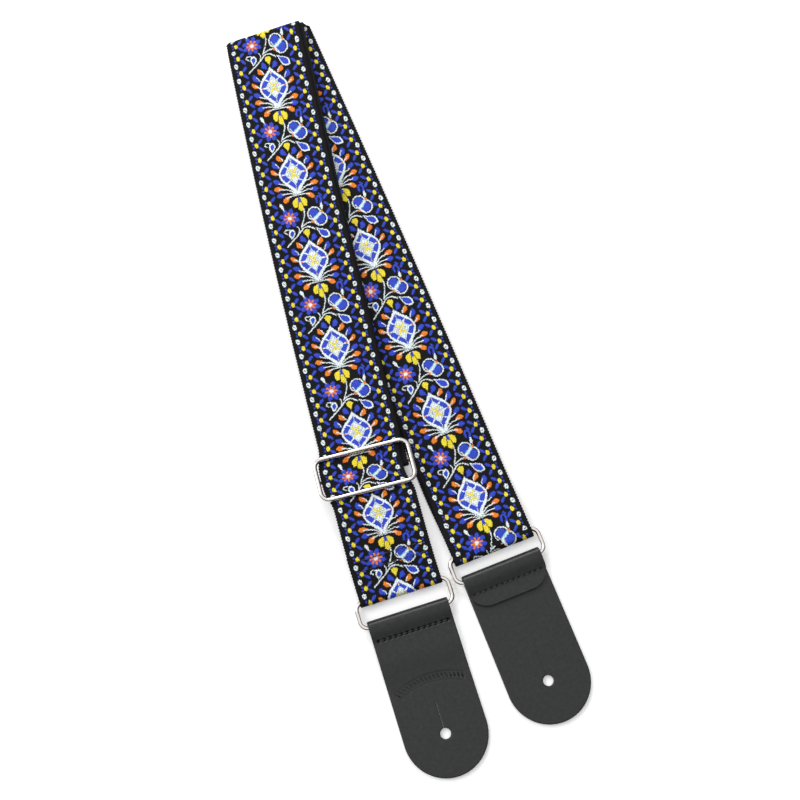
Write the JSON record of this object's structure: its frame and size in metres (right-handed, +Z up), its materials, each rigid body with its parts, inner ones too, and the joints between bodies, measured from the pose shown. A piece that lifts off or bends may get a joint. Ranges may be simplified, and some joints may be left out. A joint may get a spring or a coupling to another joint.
{
  "type": "guitar strap",
  "caption": "Woven patterned guitar strap with a wire slider, wire rings and leather button-hole end tabs, lying folded once.",
  "frame": {"origin": "centre of the front tab's button hole, on the table plane", "axes": "+Y along the front tab's centreline towards the fold, +Z up"},
  "size_m": [0.1206, 0.4923, 0.0143],
  "materials": {
    "webbing": "jacquard weave, floral pattern on black",
    "nickel": "polished nickel plated wire",
    "leather": "matt black, fine grain",
    "thread": "black waxed thread"
  },
  "bodies": {
    "root": {"webbing_fold_outer": "webbing", "webbing_fold_inner": "webbing", "webbing_rear_run": "webbing", "webbing_return_run": "webbing"},
    "front_leg": {"webbing_front_run": "webbing", "webbing_front_loop": "webbing", "webbing_under_run": "webbing", "front_hem_stitching": "thread"},
    "slider": {"slider_frame": "nickel", "slider_bar": "nickel", "webbing_slider_loop": "webbing", "slider_hem_stitching": "thread"},
    "front_ring": {"front_ring": "nickel"},
    "front_tab": {"front_tab": "leather", "front_tab_stitching": "thread"},
    "rear_end": {"webbing_rear_loop": "webbing"},
    "rear_ring": {"rear_ring": "nickel"},
    "rear_tab": {"rear_tab": "leather", "rear_tab_stitching": "thread"}
  },
  "joints": [
    {"name": "fold_hinge", "type": "hinge", "parent": "root", "child": "front_leg", "pos_m": [0.02651, 0.4664, 0.00568], "axis": [-1, 0.0009, 0], "range_deg": [0, 150], "deforming": ["webbing_fold_outer", "webbing_fold_inner"]},
    {"name": "slider_slide", "type": "slide", "parent": "front_leg", "child": "slider", "axis": [0.0516, 0.9987, 0], "range_m": [-0.014, 0.08], "deforming": ["webbing_under_run"]},
    {"name": "front_ring_hinge", "type": "hinge", "parent": "front_leg", "child": "front_ring", "pos_m": [0, 0.0856, 0.00395], "axis": [-1, 0, 0], "range_deg": [0, 80]},
    {"name": "front_tab_hinge", "type": "hinge", "parent": "front_ring", "child": "front_tab", "pos_m": [0, 0.07, 0.00395], "axis": [-1, 0, 0], "range_deg": [0, 100]},
    {"name": "rear_feed_slide", "type": "slide", "parent": "root", "child": "rear_end", "axis": [0.068, -0.9977, 0], "range_m": [-0.007, 0.04], "deforming": ["webbing_rear_run", "webbing_return_run"]},
    {"name": "rear_ring_hinge", "type": "hinge", "parent": "rear_end", "child": "rear_ring", "pos_m": [0.0603, 0.0956, 0.00395], "axis": [-0.9977, -0.068, 0], "range_deg": [0, 80]},
    {"name": "rear_tab_hinge", "type": "hinge", "parent": "rear_ring", "child": "rear_tab", "pos_m": [0.06136, 0.08004, 0.00395], "axis": [-0.9977, -0.068, 0], "range_deg": [0, 100]}
  ],
  "couplings": [
    {"joint": "rear_feed_slide", "follows": "slider_slide", "ratio": 0.5}
  ]
}
